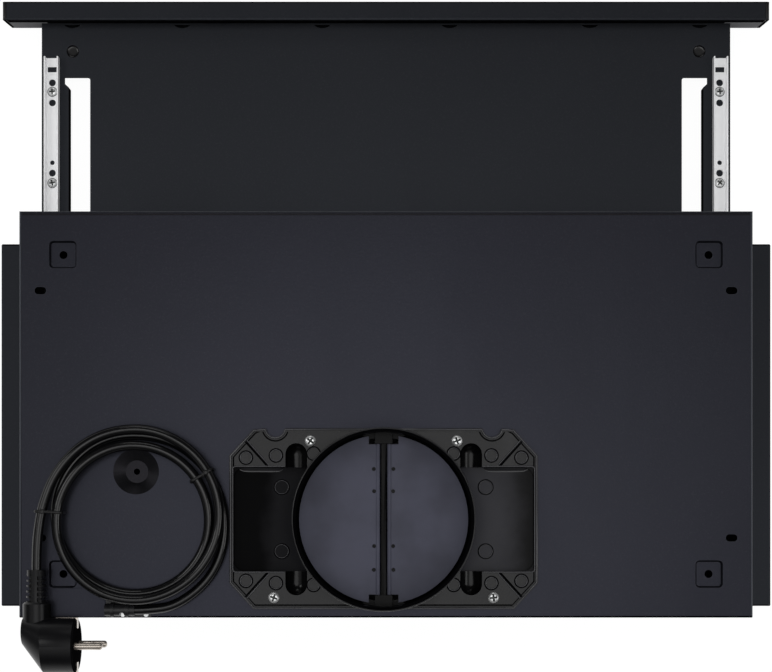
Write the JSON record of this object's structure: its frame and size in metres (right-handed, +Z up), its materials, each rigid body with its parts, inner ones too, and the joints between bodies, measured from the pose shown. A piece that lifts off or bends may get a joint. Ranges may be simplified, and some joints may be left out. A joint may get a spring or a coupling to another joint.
{
  "type": "telescopic range hood",
  "caption": "Slim built-in cooker hood with a pull-out visor, top duct outlet with flap dampers, blower, grease filters, lamps, push buttons and a coiled mains cord with plug",
  "frame": {"origin": "below the middle of the hood with its visor pulled out, on the plane of its underside, measured without the cord and plug", "axes": "+Z up, out of the duct collar; +Y to the wall, away from the fascia; +X along the hood's width, to the right of someone who faces the fascia"},
  "size_m": [0.598, 0.5085, 0.22],
  "materials": {
    "frame_metal": "dark grey painted sheet",
    "casing_metal": "dark satin painted sheet",
    "plate_plastic": "black moulded plastic with a fine grain",
    "blower_plastic": "dark moulded plastic",
    "zinc_steel": "zinc-plated steel",
    "screw_steel": "plated screws and balls",
    "fascia_steel": "dark satin painted sheet",
    "filter_aluminium": "bare expanded aluminium",
    "latch_plastic": "dark moulded plastic",
    "bearing_bronze": "sintered bronze",
    "capacitor_can": "pale plastic can",
    "lamp_frame": "pale plastic",
    "lamp_lens": "frosted",
    "button_metal": "brushed caps",
    "cord_rubber": "black smooth cord cover",
    "clamp_plastic": "black moulded plastic",
    "tie_plastic": "black strap",
    "pin_brass": "nickel-plated pins"
  },
  "bodies": {
    "hood": {"front_rail": "frame_metal", "rear_rail": "frame_metal", "casing_screws": "screw_steel", "casing_wrapper": "casing_metal", "rear_panel": "casing_metal", "top_cover": "casing_metal", "outlet_plate": "plate_plastic", "outlet_screws": "screw_steel", "duct_collar": "plate_plastic", "motor_mount": "zinc_steel", "motor_housing": "zinc_steel", "motor_bearings": "bearing_bronze", "capacitor": "capacitor_can", "capacitor_clip": "zinc_steel", "terminal_box": "plate_plastic", "slide_brackets": "zinc_steel", "cord_entry_plate": "casing_metal", "cord_clamp": "clamp_plastic", "clamp_screws": "screw_steel", "cord_coil": "cord_rubber", "cord_tail": "cord_rubber", "cord_ties": "tie_plastic", "plug_strain_relief": "cord_rubber", "plug_body": "cord_rubber", "plug_pins": "pin_brass", "plug_earth_clips": "pin_brass", "wing_left": "frame_metal", "wing_right": "frame_metal", "slide_outer_left": "zinc_steel", "slide_outer_right": "zinc_steel", "scroll_left": "blower_plastic", "scroll_right": "blower_plastic", "body_filter_left": "filter_aluminium", "body_filter_right": "filter_aluminium"},
    "visor": {"visor_tray": "frame_metal", "fascia": "fascia_steel", "fascia_end_caps": "plate_plastic", "fascia_screws": "screw_steel", "slide_inner_left": "zinc_steel", "slide_inner_right": "zinc_steel", "slide_screws": "screw_steel", "lamp_panel": "frame_metal", "lamp_bezels": "lamp_frame", "lamp_lenses": "lamp_lens", "switch_housing": "plate_plastic"},
    "visor_filter": {"visor_filter": "filter_aluminium"},
    "visor_filter_latch": {"visor_filter_latch": "latch_plastic"},
    "fan_wheel": {"impeller": "blower_plastic", "motor_shaft": "screw_steel"},
    "damper_left": {"damper_flap_left": "plate_plastic"},
    "ball_cage_left": {"ball_cage_left": "screw_steel"},
    "body_filter_latch_left": {"body_filter_latch_left": "latch_plastic"},
    "damper_right": {"damper_flap_right": "plate_plastic"},
    "ball_cage_right": {"ball_cage_right": "screw_steel"},
    "body_filter_latch_right": {"body_filter_latch_right": "latch_plastic"},
    "button_1": {"push_button_1": "button_metal"},
    "button_2": {"push_button_2": "button_metal"},
    "button_3": {"push_button_3": "button_metal"},
    "button_4": {"push_button_4": "button_metal"},
    "button_5": {"push_button_5": "button_metal"}
  },
  "joints": [
    {"name": "visor_slide", "type": "slide", "parent": "hood", "child": "visor", "axis": [0, 1, 0], "range_m": [0, 0.174]},
    {"name": "ball_cage_left_slide", "type": "slide", "parent": "hood", "child": "ball_cage_left", "axis": [0, 1, 0], "range_m": [0, 0.087]},
    {"name": "ball_cage_right_slide", "type": "slide", "parent": "hood", "child": "ball_cage_right", "axis": [0, 1, 0], "range_m": [0, 0.087]},
    {"name": "damper_left_hinge", "type": "hinge", "parent": "hood", "child": "damper_left", "pos_m": [-0.0023, 0.1679, 0.203], "axis": [0, 1, 0], "range_deg": [0, 78]},
    {"name": "damper_right_hinge", "type": "hinge", "parent": "hood", "child": "damper_right", "pos_m": [0.0055, 0.1679, 0.203], "axis": [0, -1, 0], "range_deg": [0, 78]},
    {"name": "fan_spin", "type": "hinge", "parent": "hood", "child": "fan_wheel", "pos_m": [0.0016, 0.134, 0.106], "axis": [1, 0, 0], "continuous": true},
    {"name": "visor_filter_hinge", "type": "hinge", "parent": "visor", "child": "visor_filter", "pos_m": [0, 0.0387, 0.0024], "axis": [1, 0, 0], "range_deg": [0, 80]},
    {"name": "visor_filter_latch_slide", "type": "slide", "parent": "visor_filter", "child": "visor_filter_latch", "axis": [0, 1, 0], "range_m": [0, 0.0025], "stiffness_N_per_m": 400},
    {"name": "body_filter_latch_left_slide", "type": "slide", "parent": "hood", "child": "body_filter_latch_left", "axis": [0, 1, 0], "range_m": [0, 0.0025], "stiffness_N_per_m": 400},
    {"name": "body_filter_latch_right_slide", "type": "slide", "parent": "hood", "child": "body_filter_latch_right", "axis": [0, 1, 0], "range_m": [0, 0.0025], "stiffness_N_per_m": 400},
    {"name": "button_1_push", "type": "slide", "parent": "visor", "child": "button_1", "axis": [0, 1, 0], "range_m": [0, 0.0022], "stiffness_N_per_m": 400},
    {"name": "button_2_push", "type": "slide", "parent": "visor", "child": "button_2", "axis": [0, 1, 0], "range_m": [0, 0.0022], "stiffness_N_per_m": 400},
    {"name": "button_3_push", "type": "slide", "parent": "visor", "child": "button_3", "axis": [0, 1, 0], "range_m": [0, 0.0022], "stiffness_N_per_m": 400},
    {"name": "button_4_push", "type": "slide", "parent": "visor", "child": "button_4", "axis": [0, 1, 0], "range_m": [0, 0.0022], "stiffness_N_per_m": 400},
    {"name": "button_5_push", "type": "slide", "parent": "visor", "child": "button_5", "axis": [0, 1, 0], "range_m": [0, 0.0022], "stiffness_N_per_m": 400}
  ],
  "couplings": [
    {"joint": "ball_cage_left_slide", "follows": "visor_slide", "ratio": 0.5},
    {"joint": "ball_cage_right_slide", "follows": "visor_slide", "ratio": 0.5}
  ]
}
